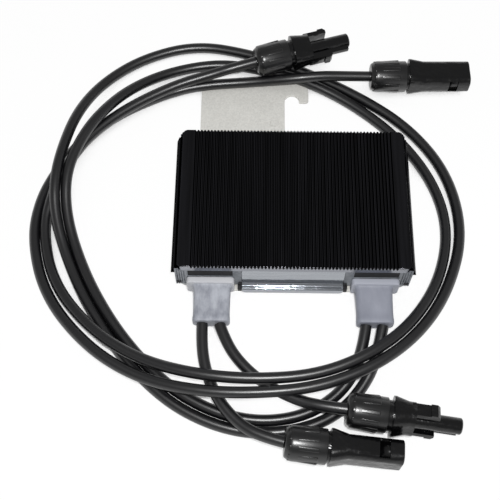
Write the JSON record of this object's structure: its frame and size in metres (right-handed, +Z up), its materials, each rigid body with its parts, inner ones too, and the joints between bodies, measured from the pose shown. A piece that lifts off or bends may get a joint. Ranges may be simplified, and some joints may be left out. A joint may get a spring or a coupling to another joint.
{
  "type": "solar power optimizer",
  "caption": "Flat module power optimizer with a black ribbed heat-sink lid, grey tub, hooked steel bracket and leads that end in latching plugs and sockets.",
  "frame": {"origin": "centre of the housing's footprint, on the bracket's underside", "axes": "+X to the right, +Y to the back, where the hooked tab is, and +Z up through the ribbed lid; the leads leave towards -Y"},
  "size_m": [0.2485, 0.2565, 0.0275],
  "materials": {
    "lid": "satin black anodised",
    "tub": "grey, as die-cast",
    "bright_plate": "bright rolled sheet",
    "galvanised_steel": "galvanised, fine spangle",
    "gland_grey": "moulded light grey",
    "black_plastic": "moulded black",
    "screw_steel": "dark zinc",
    "board_green": "solder mask",
    "bare_aluminium": "milled",
    "pad_rubber": "soft silicone",
    "ferrite": "dark grey ferrite and enamelled wire",
    "copper": "tinned copper strand",
    "seal_rubber": "black silicone",
    "lead_jacket": "satin black jacket",
    "nut_plastic": "moulded, matt black",
    "connector_plastic": "moulded, glossy black",
    "tinned_contact": "tin-plated copper"
  },
  "bodies": {
    "root": {"heatsink_cover": "lid", "housing_tub": "tub", "cover_gasket": "seal_rubber", "front_plate": "bright_plate", "mounting_bracket": "galvanised_steel", "input_gland": "gland_grey", "output_gland": "gland_grey", "gland_clamp_left": "black_plastic", "gland_clamp_right": "black_plastic", "cover_screws": "screw_steel", "bracket_screws": "screw_steel", "board_screws": "screw_steel", "circuit_board": "board_green", "power_transistors": "black_plastic", "heat_spreader": "bare_aluminium", "thermal_pad": "pad_rubber", "inductor_left": "ferrite", "inductor_right": "ferrite", "input_capacitors": "bare_aluminium", "output_capacitors": "bare_aluminium", "control_chips": "black_plastic", "input_terminals": "black_plastic", "output_terminals": "black_plastic", "input_tails": "copper", "output_tails": "copper", "input_socket_lead": "lead_jacket", "input_socket_nut": "nut_plastic", "input_socket_seal": "seal_rubber", "input_socket_body": "connector_plastic", "input_socket_contact": "tinned_contact", "input_plug_lead": "lead_jacket", "input_plug_nut": "nut_plastic", "input_plug_seal": "seal_rubber", "input_plug_body": "connector_plastic", "input_plug_contact": "tinned_contact", "output_plug_lead": "lead_jacket", "output_plug_nut": "nut_plastic", "output_plug_seal": "seal_rubber", "output_plug_body": "connector_plastic", "output_plug_contact": "tinned_contact", "output_socket_lead": "lead_jacket", "output_socket_nut": "nut_plastic", "output_socket_seal": "seal_rubber", "output_socket_body": "connector_plastic", "output_socket_contact": "tinned_contact"}
  },
  "joints": []
}
